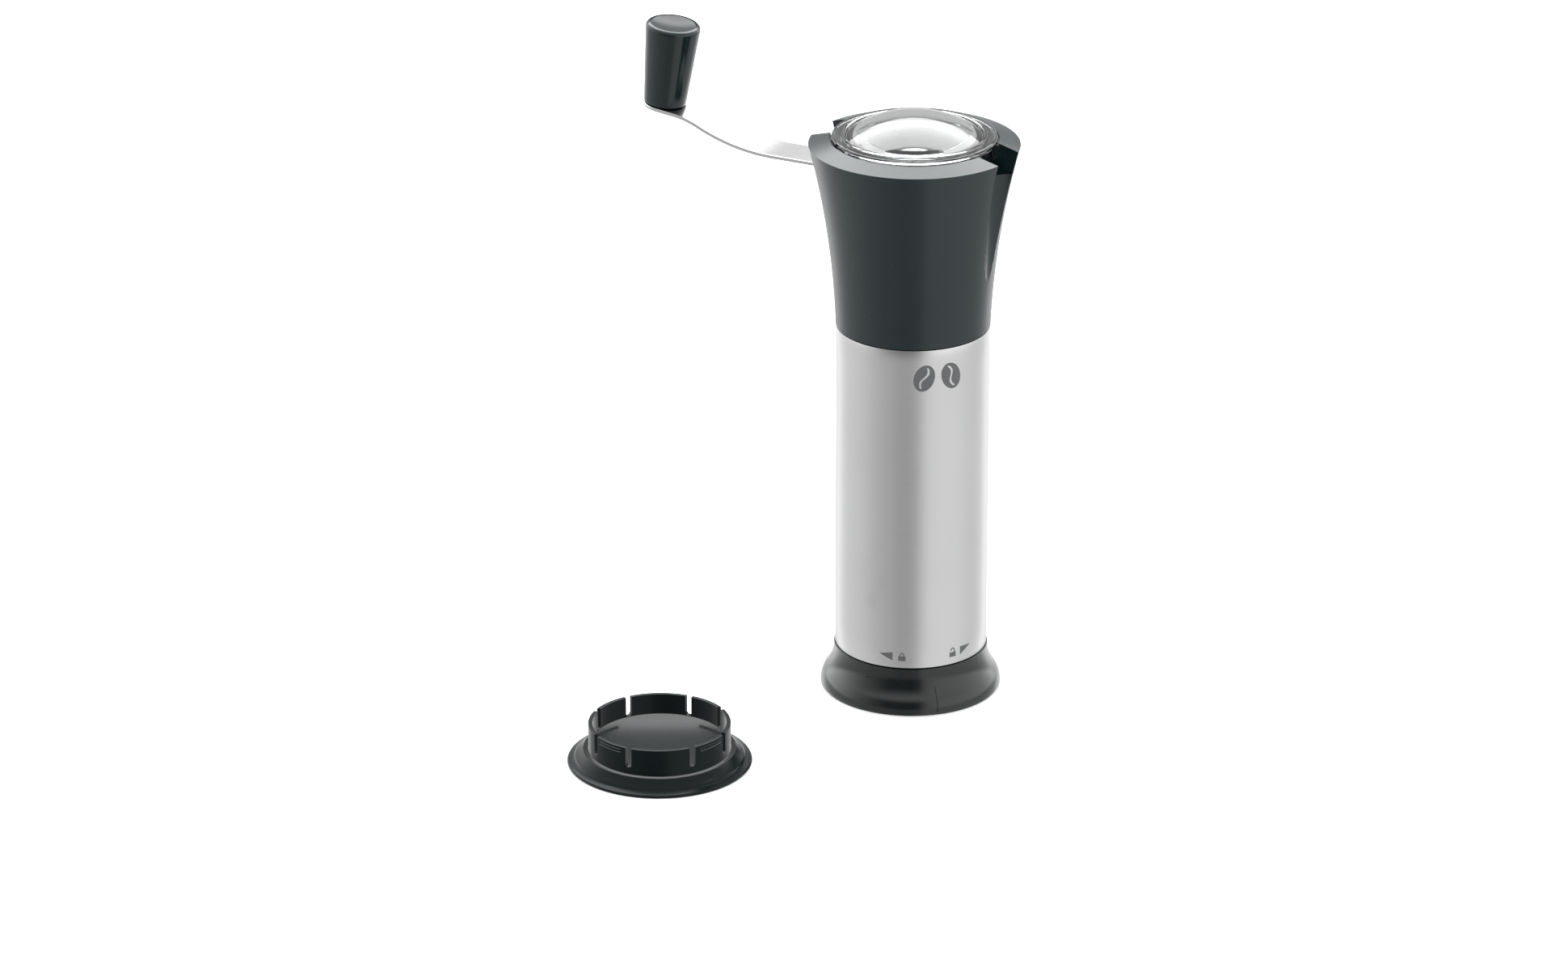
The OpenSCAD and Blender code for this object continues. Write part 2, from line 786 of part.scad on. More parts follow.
module cone_burr() {
    color("lightgray")
        difference() {
            rotate_extrude()
                polygon([
                    [carrier_r, cone_z0], [cone_foot_r - 0.3, cone_z0], [cone_foot_r, burr_z0 + 0.4],
                    [ring_waist_r - 1.9, ring_waist_z], [cone_top_r, cone_z1],
                    [carrier_r + 0.9, cone_z1], [carrier_r + 0.9, spring_z0], [carrier_r, spring_z0]
                ]);
            for (i = [0:coarse_slots - 1])
                rotate([0, 0, i * 360 / coarse_slots])
                    translate([cone_top_r - 0.6, -coarse_w / 2, cone_z0 + 5])
                        rotate([0, -coarse_lean, coarse_a])
                            cube([7, coarse_w, burr_h]);
            for (i = [0:fine_slots - 1])
                rotate([0, 0, i * 360 / fine_slots])
                    translate([cone_foot_r - 1.5, 0, cone_z0 - 1])
                        rotate([0, -fine_lean, fine_a])
                            cube([3, fine_w, 8]);
        }
}

module square_bore(z, h) {
    side = drive_side + 2 * drive_gap;
    translate([-side / 2, -side / 2, z]) cube([side, side, h]);
}

module burr_carrier() {
    color("dimgray")
        difference() {
            union() {
                translate([0, 0, carrier_z0]) cylinder(r = carrier_flange_r, h = carrier_flange_t);
                translate([0, 0, cone_z0]) cylinder(r = carrier_r, h = spring_z0 - cone_z0);
            }
            square_bore(carrier_z0 - 1, spring_z0 - carrier_z0 + 2);
        }
}

// Helix swept as a tube, with rings of points numbered from the bottom
module burr_spring() {
    rings = spring_turns * spring_steps;
    pitch = (spring_h - spring_wire - 0.04) / rings;
    points = [for (k = [0:rings], j = [0:spring_sides - 1])
        let (a = k * 360 / spring_steps, b = j * 360 / spring_sides,
            r = spring_r + cos(b) * spring_wire / 2)
        [r * cos(a), r * sin(a), spring_z0 + 0.02 + spring_wire / 2 + k * pitch + sin(b) * spring_wire / 2]];
    skin = [for (k = [0:rings - 1], j = [0:spring_sides - 1])
        let (n = (j + 1) % spring_sides, a = k * spring_sides)
        [a + j, a + j + spring_sides, a + n + spring_sides, a + n]];
    ends = [
        [for (j = [0:spring_sides - 1]) j],
        [for (j = [0:spring_sides - 1]) rings * spring_sides + spring_sides - 1 - j],
    ];
    color("silver") polyhedron(points, concat(skin, ends));
}

module dial_insert() {
    color("goldenrod")
        difference() {
            translate([0, 0, insert_z0])
                cylinder(r = insert_af / 2 / cos(30), h = insert_h, $fn = 6);
            translate([0, 0, insert_z0 - 1]) cylinder(r = thread_r + run_gap, h = insert_h + 2, $fn = 48);
        }
}

module grind_dial() {
    color("darkslategray")
        difference() {
            translate([0, 0, dial_z0])
                rotate_extrude()
                    polygon([
                        [0, 0], [dial_d / 2 - 1, 0], [dial_d / 2, 1], [dial_d / 2, dial_h - 1],
                        [dial_d / 2 - 1, dial_h], [0, dial_h]
                    ]);
            translate([0, 0, dial_z0 - 1])
                cylinder(r = insert_af / 2 / cos(30), h = dial_h + 2, $fn = 6);
            for (i = [0:dial_scallops - 1])
                rotate([0, 0, i * 360 / dial_scallops])
                    translate([dial_d / 2 + 1, 0, dial_z0 - 1])
                        cylinder(r = dial_scallop_r, h = dial_h + 2, $fn = 32);
        }
}

// ---- Cap, lying beside the mill with its fingers up ----

module cap_slots() {
    for (i = [0:3], half = [-1, 1])
        rotate([0, 0, cap_turn + i * 90 + half * cap_wide_a / 2]) {
            translate([cap_ring_r - 3, -cap_slot_w / 2, cap_floor_z + cap_slot_w / 2 + 0.2])
                cube([6, cap_slot_w, cap_top_z]);
            translate([cap_ring_r - 3, 0, cap_floor_z + cap_slot_w / 2 + 0.2])
                rotate([0, 90, 0])
                    cylinder(r = cap_slot_w / 2, h = 6, $fn = 32);
        }
}

module base_cap() {
    finger_ri = cap_ring_r - cap_ring_wall;
    narrow_a = 90 - cap_wide_a;
    color("darkslategray")
        translate([cap_x, cap_y, 0]) {
            difference() {
                rotate_extrude()
                    polygon([
                        [0, cap_floor_z - cap_floor_t], [finger_ri, cap_floor_z - cap_floor_t],
                        [cap_step_r - 2, 0], [foot_r, 0], [foot_r + 0.1, 0.5], [foot_r, cap_rim_t],
                        [cap_step_r + 0.5, cap_rim_t + 0.75], [cap_step_r, cap_step_z - 0.3],
                        [cap_step_r - 0.4, cap_step_z], [cap_deck_r, cap_deck_z],
                        [cap_ring_r + 0.3, cap_deck_z], [cap_ring_r, cap_deck_z + 0.3],
                        [cap_ring_r, cap_top_z - 0.3], [cap_ring_r - 0.3, cap_top_z],
                        [finger_ri, cap_top_z], [finger_ri, cap_floor_z], [0, cap_floor_z]
                    ]);
                cap_slots();
            }
            for (i = [0:3])
                rotate([0, 0, cap_turn + 45 + i * 90 - narrow_a / 2 + 7])
                    rotate_extrude(angle = narrow_a - 14)
                        translate([cap_ring_r - 0.15, snap_z])
                            circle(r = snap_r, $fn = 32);
        }
}

foot_ring();
foot_seal();
steel_tube();
bayonet_ring();
bearing_ring();
glide_washer();
bridge_spider();
shaft_bush();
burr_housing();
ring_burr();
burr_retainer();
retainer_screws();
head_shell();
hopper_cup();
head_clip();
drive_shaft();
crank_boss();
crank_arm();
hub_washer();
hub_nut();
knob_pin();
shaft_end_clip();
knob_grip();
knob_plug();
clear_lid();
cone_burr();
burr_carrier();
burr_spring();
dial_insert();
grind_dial();
base_cap();
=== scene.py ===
import bpy
import bmesh
import json
import math
from mathutils import Matrix, Vector


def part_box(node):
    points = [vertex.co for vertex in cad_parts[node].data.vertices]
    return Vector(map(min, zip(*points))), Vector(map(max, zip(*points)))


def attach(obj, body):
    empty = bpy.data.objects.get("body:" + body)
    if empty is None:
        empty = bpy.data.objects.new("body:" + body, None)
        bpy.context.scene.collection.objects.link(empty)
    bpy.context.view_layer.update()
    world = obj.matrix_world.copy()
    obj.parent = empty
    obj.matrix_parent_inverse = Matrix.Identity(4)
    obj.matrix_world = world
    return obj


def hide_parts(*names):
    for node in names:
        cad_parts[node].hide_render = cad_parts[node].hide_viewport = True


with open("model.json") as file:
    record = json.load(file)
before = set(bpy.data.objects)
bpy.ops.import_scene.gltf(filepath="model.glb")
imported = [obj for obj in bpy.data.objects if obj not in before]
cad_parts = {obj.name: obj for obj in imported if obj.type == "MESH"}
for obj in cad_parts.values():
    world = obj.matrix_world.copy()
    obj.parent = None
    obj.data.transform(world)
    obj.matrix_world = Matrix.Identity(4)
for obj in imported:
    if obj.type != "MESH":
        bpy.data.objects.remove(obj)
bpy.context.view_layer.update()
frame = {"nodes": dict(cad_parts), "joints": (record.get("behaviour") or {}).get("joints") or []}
mm = 0.001

# distances in millimetres below which points count as one, for new solids and for rounded ones
close = {
    "weld": 0.0005, "sliver": 0.0001, "ring": 0.02,
    "roundWeld": 0.005, "roundMerge": 0.002, "roundSliver": 0.001,
}


def boxOf(node):
    low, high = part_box(node)
    return low / mm, high / mm


def arcPoints(centre, radius, fromAngle, toAngle, count):
    # points of an arc in the half plane (radius, height), ends included
    steps = [math.radians(fromAngle + (toAngle - fromAngle) * i / count) for i in range(count + 1)]
    return [(centre[0] + radius * math.cos(a), centre[1] + radius * math.sin(a)) for a in steps]


def spinProfile(points, steps=128, sweep=360.0, start=0.0):
    # closed profile of (radius, height) points, spun about Z
    bm = bmesh.new()
    verts = [bm.verts.new((r, 0, z)) for r, z in points]
    for a, b in zip(verts, verts[1:] + verts[:1]):
        bm.edges.new((a, b))
    bmesh.ops.rotate(bm, verts=bm.verts, cent=(0, 0, 0),
                     matrix=Matrix.Rotation(math.radians(start), 3, "Z"))
    whole = sweep >= 360.0
    bmesh.ops.spin(bm, geom=list(bm.verts) + list(bm.edges), cent=(0, 0, 0), axis=(0, 0, 1),
                   angle=math.radians(sweep), steps=steps, use_merge=whole)
    bmesh.ops.remove_doubles(bm, verts=bm.verts, dist=close["weld"])
    if not whole:
        bmesh.ops.holes_fill(bm, edges=[e for e in bm.edges if e.is_boundary], sides=0)
    bmesh.ops.dissolve_degenerate(bm, dist=close["sliver"], edges=bm.edges)
    bmesh.ops.recalc_face_normals(bm, faces=bm.faces)
    return bm


def roundRings(bm, radius, corners, segments=3):
    # rounds the ring edges that pass through the given (radius, height) corners
    reach = close["ring"]

    def onCorner(vert):
        out = math.hypot(vert.co.x, vert.co.y)
        return any(abs(out - r) < reach and abs(vert.co.z - z) < reach for r, z in corners)

    picked = [e for e in bm.edges if all(onCorner(v) for v in e.verts)
              and abs(e.verts[0].co.z - e.verts[1].co.z) < reach]
    bmesh.ops.bevel(bm, geom=picked, offset=radius, offset_type="OFFSET", segments=segments,
                    profile=0.5, affect="EDGES", clamp_overlap=True, material=-1)


def boxBm(low, high):
    bm = bmesh.new()
    bmesh.ops.create_cube(bm, size=1.0)
    low, high = Vector(low), Vector(high)
    bmesh.ops.scale(bm, vec=high - low, verts=bm.verts)
    bmesh.ops.translate(bm, vec=(low + high) / 2, verts=bm.verts)
    return bm


def rodBm(radius, low, high, segments):
    bm = bmesh.new()
    bmesh.ops.create_cone(bm, cap_ends=True, segments=segments, radius1=radius, radius2=radius,
                          depth=high - low)
    bmesh.ops.translate(bm, vec=(0, 0, (low + high) / 2), verts=bm.verts)
    return bm


def makePiece(name, bm, place=None, smoothAngle=40.0):
    # turns a bmesh in millimetres into an object in metres
    if place:
        bmesh.ops.transform(bm, matrix=place, verts=bm.verts)
    bmesh.ops.scale(bm, vec=(mm, mm, mm), verts=bm.verts)
    mesh = bpy.data.meshes.new(name)
    bm.to_mesh(mesh)
    bm.free()
    mesh.shade_smooth()
    mesh.set_sharp_from_angle(angle=math.radians(smoothAngle))
    piece = bpy.data.objects.new(name, mesh)
    bpy.context.scene.collection.objects.link(piece)
    return piece


def carve(piece, cutters, smoothAngle=40.0):
    # cuts the cutters out of the piece and bakes the result into its mesh
    for cutter in cutters:
        cut = piece.modifiers.new("cut", "BOOLEAN")
        cut.operation = "DIFFERENCE"
        cut.solver = "EXACT"
        cut.object = cutter
    bpy.context.view_layer.update()
    shown = piece.evaluated_get(bpy.context.evaluated_depsgraph_get())
    result = bpy.data.meshes.new_from_object(shown)
    piece.modifiers.clear()
    old, piece.data = piece.data, result
    bpy.data.meshes.remove(old)
    for cutter in cutters:
        bpy.data.meshes.remove(cutter.data)
    result.shade_smooth()
    result.set_sharp_from_angle(angle=math.radians(smoothAngle))


def softEdges(piece, width, segments=2, angle=40.0):
    # rounds the sharp edges, merges what the rounding left without size and evens the normals
    bm = bmesh.new()
    bm.from_mesh(piece.data)
    bmesh.ops.remove_doubles(bm, verts=bm.verts, dist=close["roundWeld"] * mm)
    bmesh.ops.dissolve_degenerate(bm, dist=close["roundSliver"] * mm, edges=bm.edges)
    sharp = [e for e in bm.edges if e.is_manifold and e.calc_face_angle() > math.radians(angle)]
    bmesh.ops.bevel(bm, geom=sharp, offset=width * mm, offset_type="OFFSET", segments=segments,
                    profile=0.5, affect="EDGES", clamp_overlap=True, material=-1)
    bmesh.ops.remove_doubles(bm, verts=bm.verts, dist=close["roundMerge"] * mm)
    bmesh.ops.dissolve_degenerate(bm, dist=close["roundSliver"] * mm, edges=bm.edges)
    bm.to_mesh(piece.data)
    bm.free()
    piece.data.shade_smooth()
    weighted = piece.modifiers.new("normals", "WEIGHTED_NORMAL")
    weighted.keep_sharp = False
    weighted.weight = 50


def finishPiece(piece, body, slot, material, *nodes):
    piece.data.materials.clear()
    piece.data.materials.append(material)
    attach(piece, body)
    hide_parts(*nodes)


def newMaterial(name, color, roughness, metallic=0.0, **sockets):
    mat = bpy.data.materials.new(name)
    mat.use_nodes = True
    shader = mat.node_tree.nodes["Principled BSDF"]
    shader.inputs["Base Color"].default_value = (*color, 1.0)
    shader.inputs["Roughness"].default_value = roughness
    shader.inputs["Metallic"].default_value = metallic
    for socket, value in sockets.items():
        shader.inputs[socket].default_value = value
    return mat, mat.node_tree, shader


def addNode(tree, kind, **settings):
    node = tree.nodes.new(kind)
    for key, value in settings.items():
        setattr(node, key, value)
    return node


def noiseOn(tree, vector, scale, detail=2.0, rough=0.5):
    noise = addNode(tree, "ShaderNodeTexNoise")
    noise.inputs["Scale"].default_value = scale
    noise.inputs["Detail"].default_value = detail
    noise.inputs["Roughness"].default_value = rough
    tree.links.new(vector, noise.inputs["Vector"])
    return noise.outputs["Fac"]


def spread(tree, value, low, high, fromLow=0.3, fromHigh=0.7):
    ramp = addNode(tree, "ShaderNodeMapRange")
    ramp.inputs["From Min"].default_value = fromLow
    ramp.inputs["From Max"].default_value = fromHigh
    ramp.inputs["To Min"].default_value = low
    ramp.inputs["To Max"].default_value = high
    tree.links.new(value, ramp.inputs["Value"])
    return ramp.outputs["Result"]


def bumpOn(tree, shader, height, strength, distance, under=None):
    bump = addNode(tree, "ShaderNodeBump")
    bump.inputs["Strength"].default_value = strength
    bump.inputs["Distance"].default_value = distance
    tree.links.new(height, bump.inputs["Height"])
    if under:
        tree.links.new(under, bump.inputs["Normal"])
    tree.links.new(bump.outputs["Normal"], shader.inputs["Normal"])
    return bump.outputs["Normal"]


plasticLook = {
    "slowScale": 45.0, "slowDetail": 3.0, "fineDetail": 4.0, "fineRough": 0.6,
    "dark": 0.88, "light": 1.12, "bumpDepth": 0.00002,
}


def mouldedPlastic(name, color, roughness, grain, grainScale, spots=0.06, **sockets):
    # moulded plastic: fine grain, slow changes of gloss and a faint change of shade
    mat, tree, shader = newMaterial(name, color, roughness, **sockets)
    coords = addNode(tree, "ShaderNodeTexCoord").outputs["Object"]
    look = plasticLook
    slow = noiseOn(tree, coords, look["slowScale"], look["slowDetail"])
    fine = noiseOn(tree, coords, grainScale, look["fineDetail"], look["fineRough"])
    gloss = spread(tree, slow, roughness - spots / 2, roughness + spots / 2)
    tree.links.new(gloss, shader.inputs["Roughness"])
    tint = addNode(tree, "ShaderNodeMix", data_type="RGBA")
    tint.inputs["A"].default_value = (*[c * look["dark"] for c in color], 1.0)
    tint.inputs["B"].default_value = (*[c * look["light"] for c in color], 1.0)
    tree.links.new(slow, tint.inputs["Factor"])
    tree.links.new(tint.outputs["Result"], shader.inputs["Base Color"])
    bumpOn(tree, shader, fine, grain, look["bumpDepth"])
    return mat


def polarCoords(tree):
    # the object's own coordinates, the same split in three, and the angle about Z
    coords = addNode(tree, "ShaderNodeTexCoord").outputs["Object"]
    split = addNode(tree, "ShaderNodeSeparateXYZ")
    tree.links.new(coords, split.inputs[0])
    turn = addNode(tree, "ShaderNodeMath", operation="ARCTAN2")
    tree.links.new(split.outputs["Y"], turn.inputs[0])
    tree.links.new(split.outputs["X"], turn.inputs[1])
    return coords, split, turn.outputs[0]


steelLook = {
    "turnStretch": 1.2, "runStretch": 40.0, "hairScale": 5200.0, "hairDetail": 3.0, "hairRough": 0.65,
    "cloudScale": 30.0, "cloudDetail": 2.0, "hairShare": 0.7, "cloudShare": 0.3,
    "dark": 0.93, "light": 1.05, "bumpStrength": 0.12, "bumpDepth": 0.00002,
}


def brushedSteel(name, color, roughness, along, anisotropy, streak=0.06):
    # along "turn" brushes round Z, "x" brushes along X
    mat, tree, shader = newMaterial(name, color, roughness, 1.0, Anisotropic=anisotropy)
    coords, split, turn = polarCoords(tree)
    lay = addNode(tree, "ShaderNodeCombineXYZ")
    look = steelLook
    if along == "turn":
        run, across, stretch = turn, split.outputs["Z"], look["turnStretch"]
    else:
        run, across, stretch = split.outputs["X"], split.outputs["Y"], look["runStretch"]
    for socket, source, factor in (("X", run, stretch), ("Y", across, look["hairScale"])):
        times = addNode(tree, "ShaderNodeMath", operation="MULTIPLY")
        tree.links.new(source, times.inputs[0])
        times.inputs[1].default_value = factor
        tree.links.new(times.outputs[0], lay.inputs[socket])
    hairs = noiseOn(tree, lay.outputs[0], 1.0, look["hairDetail"], look["hairRough"])
    clouds = noiseOn(tree, coords, look["cloudScale"], look["cloudDetail"])
    gloss = spread(tree, hairs, roughness - streak, roughness + streak)
    tree.links.new(gloss, shader.inputs["Roughness"])
    tint = addNode(tree, "ShaderNodeMix", data_type="RGBA")
    tint.inputs["A"].default_value = (*[c * look["dark"] for c in color], 1.0)
    tint.inputs["B"].default_value = (*[min(1.0, c * look["light"]) for c in color], 1.0)
    both = addNode(tree, "ShaderNodeMath", operation="MULTIPLY_ADD")
    tree.links.new(hairs, both.inputs[0])
    both.inputs[1].default_value = look["hairShare"]
    tree.links.new(spread(tree, clouds, 0.0, look["cloudShare"]), both.inputs[2])
    tree.links.new(both.outputs[0], tint.inputs["Factor"])
    tree.links.new(tint.outputs["Result"], shader.inputs["Base Color"])
    bumpOn(tree, shader, hairs, look["bumpStrength"], look["bumpDepth"])
    tangent = addNode(tree, "ShaderNodeTangent", direction_type="RADIAL",
                      axis="Z" if along == "turn" else "X")
    tree.links.new(tangent.outputs[0], shader.inputs["Tangent"])
    return mat


print("materials")
finishes = {
    "head": dict(color=(0.0038, 0.0118, 0.0135), roughness=0.27, grain=0.16, grainScale=2600.0),
    "foot": {"color": (0.0010, 0.0034, 0.0036), "roughness": 0.12, "grain": 0.06, "grainScale": 2200.0,
             "spots": 0.03, "Coat Weight": 0.35, "Coat Roughness": 0.05},
    "knob": dict(color=(0.003, 0.0085, 0.0095), roughness=0.15, grain=0.05, grainScale=1800.0,
                 spots=0.03),
    "dish": {"color": (0.003, 0.0085, 0.0095), "roughness": 0.3, "grain": 0.05, "grainScale": 1800.0,
             "Specular IOR Level": 0.28},
    "cap": {"color": (0.0016, 0.0050, 0.0055), "roughness": 0.2, "grain": 0.1, "grainScale": 2400.0,
            "spots": 0.04, "Specular IOR Level": 0.16},
    "inner": dict(color=(0.055, 0.06, 0.062), roughness=0.45, grain=0.2, grainScale=2400.0),
    "seal": dict(color=(0.03, 0.03, 0.032), roughness=0.7, grain=0.3, grainScale=3000.0),
    "washer": dict(color=(0.015, 0.017, 0.017), roughness=0.5, grain=0.2, grainScale=2400.0),
    "print": dict(color=(0.085, 0.088, 0.09), roughness=0.55, grain=0.2, grainScale=3000.0),
}
plastic = {key: mouldedPlastic(key + "Plastic", **value) for key, value in finishes.items()}
tubeSteel = brushedSteel("tubeSteel", (0.66, 0.66, 0.665), 0.24, "turn", 0.75, 0.03)
stripSteel = brushedSteel("stripSteel", (0.62, 0.62, 0.62), 0.2, "x", 0.3, 0.03)
turnedSteel = brushedSteel("turnedSteel", (0.62, 0.62, 0.63), 0.24, "turn", 0.4)
groundSteel = brushedSteel("groundSteel", (0.50, 0.50, 0.51), 0.36, "turn", 0.3)
bushBrass = brushedSteel("bushBrass", (0.72, 0.50, 0.22), 0.3, "turn", 0.3)


acrylicLook = {
    "color": (0.96, 0.975, 0.975), "roughness": 0.02, "bend": 1.52, "level": 0.9,
    "smearScale": 300.0, "smearDetail": 4.0, "smearLow": 0.012, "smearHigh": 0.04,
    "waveScale": 60.0, "waveDetail": 2.0, "waveStrength": 0.05, "waveDepth": 0.00005,
}


def clearAcrylic():
    look = acrylicLook
    mat, tree, shader = newMaterial("clearAcrylic", look["color"], look["roughness"], IOR=look["bend"])
    shader.inputs["Transmission Weight"].default_value = 1.0
    shader.inputs["Specular IOR Level"].default_value = look["level"]
    coords = addNode(tree, "ShaderNodeTexCoord").outputs["Object"]
    smear = noiseOn(tree, coords, look["smearScale"], look["smearDetail"])
    tree.links.new(spread(tree, smear, look["smearLow"], look["smearHigh"]), shader.inputs["Roughness"])
    wave = noiseOn(tree, coords, look["waveScale"], look["waveDetail"])
    bumpOn(tree, shader, wave, look["waveStrength"], look["waveDepth"])
    return mat


lidAcrylic = clearAcrylic()

cadFinish = {
    "foot_seal": plastic["seal"], "bayonet_ring": plastic["inner"], "bearing_ring": plastic["inner"],
    "glide_washer": plastic["washer"], "bridge_spider": plastic["inner"], "shaft_bush": bushBrass,
    "burr_housing": plastic["inner"], "ring_burr": groundSteel, "burr_retainer": turnedSteel,
    "retainer_screws": turnedSteel, "hopper_cup": plastic["inner"], "head_clip": turnedSteel,
    "drive_shaft": turnedSteel, "crank_boss": plastic["inner"], "hub_washer": turnedSteel,
    "hub_nut": turnedSteel, "knob_pin": turnedSteel, "shaft_end_clip": turnedSteel,
    "cone_burr": groundSteel, "burr_carrier": plastic["inner"], "burr_spring": turnedSteel,
    "dial_insert": bushBrass, "grind_dial": plastic["cap"],
}
for node, finish in cadFinish.items():
    mesh = frame["nodes"][node].data
    mesh.materials.clear()
    mesh.materials.append(finish)

print("foot")
foot = {
    "lipRadius": 25.35, "lipDrop": 0.4, "flareIn": 15.0, "flareOut": 8.5, "lineHeight": 0.6,
    "lineIn": 0.35, "ringHeight": 14.8, "recessRadius": 27.65, "recessHeight": 3.75,
    "socketRadius": 23.2, "socketTop": 10.55, "reliefRadius": 24.0, "reliefTop": 13.2,
    "throatRadius": 19.6, "throatRise": 0.4, "spigotRadius": 21.2, "edge": 0.12,
    "markAngle": -47.0, "markSpread": 1.0, "markDepth": 0.35, "markLow": 1.2, "markHigh": 8.7,
    "markIn": 0.02, "markOut": 2.0, "lugs": 3, "lugSpread": 24.0, "lugIn": 0.8,
    "lugRadius": 22.5, "lugLow": 20.8, "lugHigh": 23.0,
}


def footSide(inset=0.0):
    lip, top = foot["lipRadius"], foot["ringHeight"] - foot["lipDrop"]
    outerRadius = boxOf("foot_ring")[1][0]
    inC = (lip + foot["flareIn"], top)
    outX = outerRadius - foot["flareOut"]
    reach = foot["flareIn"] + foot["flareOut"]
    outC = (outX, top - math.sqrt(reach ** 2 - (inC[0] - outX) ** 2))
    lean = math.degrees(math.atan2(inC[1] - outC[1], inC[0] - outC[0]))
    low = math.degrees(math.asin(max(0.0, foot["lineHeight"] - outC[1]) / foot["flareOut"]))
    side = [(lip, foot["ringHeight"])]
    side += arcPoints(inC, foot["flareIn"], 180, 180 + lean, 20)
    side += arcPoints(outC, foot["flareOut"], lean, low, 24)[1:]
    return [(r - inset, z) for r, z in side]


def makeFoot():
    top = boxOf("foot_ring")[1][2]
    side = footSide()
    edge = side[-1][0]
    inLine = edge - foot["lineIn"]
    points = [(foot["throatRadius"], foot["reliefTop"] + foot["throatRise"]),
              (foot["throatRadius"], top), (foot["spigotRadius"], top),
              (foot["spigotRadius"], foot["ringHeight"])]
    points += side
    points += [(edge, foot["lineHeight"]), (inLine, foot["lineHeight"]), (inLine, 0.0),
               (foot["recessRadius"], 0.0), (foot["recessRadius"], foot["recessHeight"]),
               (foot["socketRadius"], foot["recessHeight"]), (foot["socketRadius"], foot["socketTop"]),
               (foot["reliefRadius"], foot["socketTop"]), (foot["reliefRadius"], foot["reliefTop"]),
               (foot["throatRadius"], foot["reliefTop"])]
    bm = spinProfile([p for i, p in enumerate(points) if p != points[i - 1]], 160)
    corners = [(foot["lipRadius"], foot["ringHeight"]), (edge, foot["lineHeight"]), (inLine, 0.0),
               (foot["recessRadius"], 0.0), (foot["socketRadius"], foot["recessHeight"])]
    roundRings(bm, foot["edge"], corners, 2)
    piece = makePiece("footRing", bm)
    low, high = foot["markLow"], foot["markHigh"]
    line = [p for p in footSide(foot["markDepth"]) if low < p[1] < high]
    nudge, far = foot["markIn"], edge + foot["markOut"]
    ends = [(line[0][0] - nudge, high)] + line + [(line[-1][0] + nudge, low)]
    cut = spinProfile(ends + [(far, low), (far, high)], 2, foot["markSpread"], foot["markAngle"])
    carve(piece, [makePiece("markCutter", cut)])
    finishPiece(piece, "foot", "foot_black", plastic["foot"], "foot_ring")
    lugIn, lugOut = foot["throatRadius"] + foot["lugIn"], foot["lugRadius"]
    outline = [(lugIn, foot["lugLow"]), (lugOut, foot["lugLow"]),
               (lugOut, foot["lugHigh"]), (lugIn, foot["lugHigh"])]
    for i in range(foot["lugs"]):
        start = i * 360 / foot["lugs"] - foot["lugSpread"] / 2
        lug = makePiece("footLug" + str(i + 1), spinProfile(outline, 10, foot["lugSpread"], start))
        lug.data.materials.append(plastic["foot"])
        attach(lug, "foot")


makeFoot()

print("barrel")
barrel = {"wall": 1.0, "edge": 0.12, "rows": 12}


def makeTube():
    low, high = boxOf("steel_tube")
    outer, inner = high[0], high[0] - barrel["wall"]
    rows = barrel["rows"]
    rings = [low[2] + (high[2] - low[2]) * i / rows for i in range(rows + 1)]
    points = [(inner, high[2]), (inner, low[2])] + [(outer, z) for z in rings]
    bm = spinProfile(points, 192)
    corners = [(inner, high[2]), (inner, low[2]), (outer, high[2]), (outer, low[2])]
    roundRings(bm, barrel["edge"], corners, 2)
    finishPiece(makePiece("steelTube", bm), "barrel", "steel_brushed", tubeSteel, "steel_tube")


makeTube()

marks = {
    "proud": 0.03, "step": 1.2, "beanAngle": -44.8, "beanHeight": 116.9, "beanGap": 4.6,
    "beanSize": (3.4, 4.6), "beanTilt": 18.0, "slit": 0.36, "slitWave": 0.75, "slitShare": 0.8,
    "signHeight": 19.1, "arrow": (4.5, 2.9), "closeTip": 0.4, "openTip": 0.9,
    "lockHalf": 1.2, "lockTop": 0.2, "lockFoot": -1.45, "bowOuter": 0.8, "bowInner": 0.42,
    "shutBow": 0.65, "openBow": 1.0, "openEnd": 0.7,
    "closeArrow": -82.8, "closeSign": -70.5, "openSign": -30.5, "openArrow": -18.4,
}


def wrapMark(name, outline, holes, angle, height):
    # lays a flat outline of (right, up) points on the tube as a thin raised plate
    bm = bmesh.new()
    edges = []
    for loop in [outline] + holes:
        verts = [bm.verts.new((x, 0.0, z)) for x, z in loop]
        edges += [bm.edges.new((a, b)) for a, b in zip(verts, verts[1:] + verts[:1])]
    bmesh.ops.triangle_fill(bm, use_beauty=True, edges=edges)
    reach = max(abs(x) for x, z in outline)
    for i in range(-int(reach / marks["step"]), int(reach / marks["step"]) + 1):
        bmesh.ops.bisect_plane(bm, geom=list(bm.verts) + list(bm.edges) + list(bm.faces),
                               dist=close["sliver"],
                               plane_co=(i * marks["step"], 0, 0), plane_no=(1, 0, 0))
    raised = bmesh.ops.extrude_face_region(bm, geom=list(bm.faces))["geom"]
    for vert in (item for item in raised if isinstance(item, bmesh.types.BMVert)):
        vert.co.y = marks["proud"]
    radius = boxOf("steel_tube")[1][0]
    for vert in bm.verts:
        turn = math.radians(angle) + vert.co.x / radius
        out = radius + vert.co.y
        vert.co = (out * math.cos(turn), out * math.sin(turn), height + vert.co.z)
    bmesh.ops.recalc_face_normals(bm, faces=bm.faces)
    piece = makePiece(name, bm)
    piece.data.materials.append(plastic["print"])
    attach(piece, "barrel")


